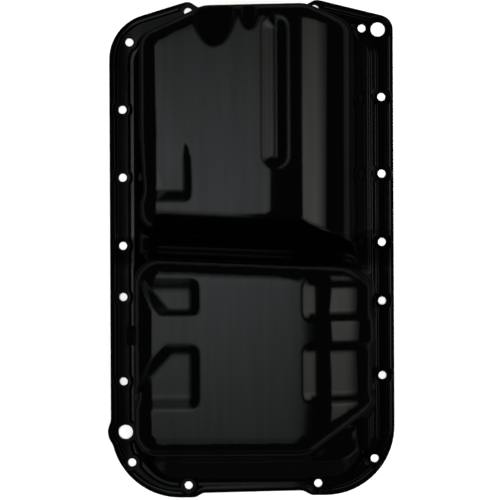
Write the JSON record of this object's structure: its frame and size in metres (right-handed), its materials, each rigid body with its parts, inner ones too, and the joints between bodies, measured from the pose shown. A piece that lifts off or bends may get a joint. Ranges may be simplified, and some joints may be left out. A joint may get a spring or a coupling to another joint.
{
  "type": "engine oil pan",
  "caption": "Drawn steel engine oil pan with a shallow front tub, a deep rear sump, a channelled screw flange, pressed stiffening pads and a side drain plug.",
  "frame": {"origin": "centre of the bounding box on the gasket face, which the pan stands on", "axes": "+Z from the gasket face out through the sump floor, +Y towards the front of the engine, +X to the side away from the drain plug"},
  "size_m": [0.2432, 0.4218, 0.155],
  "materials": {
    "black_paint": "gloss black stoving enamel over steel",
    "plug_steel": "black finish on a steel hexagon plug",
    "washer_metal": "soft metal sealing ring under black enamel"
  },
  "bodies": {
    "pan": {"pan_shell": "black_paint", "drain_boss": "black_paint"},
    "washer": {"drain_washer": "washer_metal"},
    "plug": {"drain_plug": "plug_steel"}
  },
  "joints": [
    {"name": "washer_slide", "type": "slide", "parent": "pan", "child": "washer", "axis": [-1, 0, 0], "range_m": [0, 0.0125]},
    {"name": "plug_turn", "type": "hinge", "parent": "washer", "child": "plug", "pos_m": [-0.0847, -0.0634, 0.1355], "axis": [-1, 0, 0], "range_deg": [0, 2520]}
  ],
  "couplings": [
    {"joint": "washer_slide", "follows": "plug_turn", "m_per_rad": 0.00023873}
  ]
}
